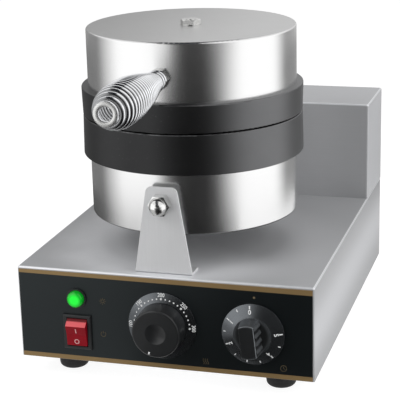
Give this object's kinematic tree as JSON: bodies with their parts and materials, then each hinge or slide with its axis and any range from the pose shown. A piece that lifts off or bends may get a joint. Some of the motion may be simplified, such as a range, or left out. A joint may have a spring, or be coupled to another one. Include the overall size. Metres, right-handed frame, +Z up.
{
  "type": "waffle cone maker",
  "caption": "Counter-top waffle cone baker: steel base with dial controls, rear tower, and a round baking drum whose hinged upper half lifts by a wire coil handle.",
  "frame": {"origin": "on the floor under the middle of the whole outline, handle and cable gland included", "axes": "+X to the user's right, +Y away from the user towards the tower, +Z up"},
  "size_m": [0.26, 0.4713, 0.3002],
  "materials": {
    "stainless_sheet": "brushed",
    "bracket_steel": "matte",
    "polished_steel": "polished",
    "coated_casting": "satin non-stick coat",
    "fascia_print": "printed",
    "black_rubber": "matte",
    "black_plastic": "satin",
    "dial_plastic": "satin",
    "red_plastic": "gloss",
    "green_lens": "clear",
    "case_plastic": "matte",
    "plated_wire": "polished",
    "heater_sheath": "dull",
    "copper_capillary": "dull",
    "plated_fixings": "plated"
  },
  "bodies": {
    "base": {"base_housing": "stainless_sheet", "bottom_plate": "stainless_sheet", "bottom_plate_screws": "plated_fixings", "bracket_screws": "plated_fixings", "cable_gland": "black_plastic", "cable_gland_nut": "black_plastic", "control_fascia": "fascia_print", "dial_ring_nuts": "plated_fixings", "foot_front_left": "black_rubber", "foot_front_right": "black_rubber", "foot_nuts": "plated_fixings", "foot_rear_left": "black_rubber", "foot_rear_right": "black_rubber", "foot_screws": "plated_fixings", "front_bracket": "bracket_steel", "hinge_clips": "plated_fixings", "hinge_pin": "plated_fixings", "indicator_body": "black_plastic", "indicator_lens": "green_lens", "lower_can": "polished_steel", "lower_can_washer": "plated_fixings", "lower_heater": "heater_sheath", "lower_heater_clamp": "plated_fixings", "lower_plate": "coated_casting", "lower_stud": "plated_fixings", "lower_stud_nuts": "plated_fixings", "pivot_acorn_nut": "plated_fixings", "pivot_bolt": "plated_fixings", "pivot_spacer": "plated_fixings", "switch_body": "black_plastic", "terminal_block": "case_plastic", "thermostat_body": "case_plastic", "thermostat_capillary": "copper_capillary", "thermostat_dial_plate": "dial_plastic", "timer_body": "case_plastic", "tower_cover_screws": "plated_fixings", "tower_grommet": "black_rubber", "tower_housing": "stainless_sheet", "tower_rear_cover": "stainless_sheet", "trunnion_nuts": "plated_fixings", "trunnion_tube": "plated_fixings"},
    "lid": {"upper_can": "polished_steel", "upper_plate": "coated_casting", "upper_heater": "heater_sheath", "upper_heater_clamp": "plated_fixings", "upper_stud": "plated_fixings", "upper_can_washer": "plated_fixings", "upper_stud_nuts": "plated_fixings", "upper_can_grommet": "black_rubber", "handle_stud": "plated_fixings", "handle_lock_nut": "plated_fixings", "handle_inner_nut": "plated_fixings", "handle_coil": "plated_wire"},
    "thermostat_knob": {"thermostat_knob": "black_plastic", "thermostat_shaft": "plated_fixings"},
    "timer_knob": {"timer_knob": "black_plastic", "timer_shaft": "plated_fixings"},
    "switch_rocker": {"switch_rocker": "red_plastic"}
  },
  "joints": [
    {"name": "lid_hinge", "type": "hinge", "parent": "base", "child": "lid", "pos_m": [0, 0.0948, 0.2208], "axis": [-1, 0, 0], "range_deg": [0, 100]},
    {"name": "thermostat_turn", "type": "hinge", "parent": "base", "child": "thermostat_knob", "pos_m": [0, -0.1196, 0.05765], "axis": [0, 1, 0], "range_deg": [0, 251]},
    {"name": "timer_turn", "type": "hinge", "parent": "base", "child": "timer_knob", "pos_m": [0.079, -0.1196, 0.05765], "axis": [0, 1, 0], "range_deg": [0, 276]},
    {"name": "rocker_tilt", "type": "hinge", "parent": "base", "child": "switch_rocker", "pos_m": [-0.0765, -0.1176, 0.0455], "axis": [-1, 0, 0], "range_deg": [0, 22]}
  ]
}
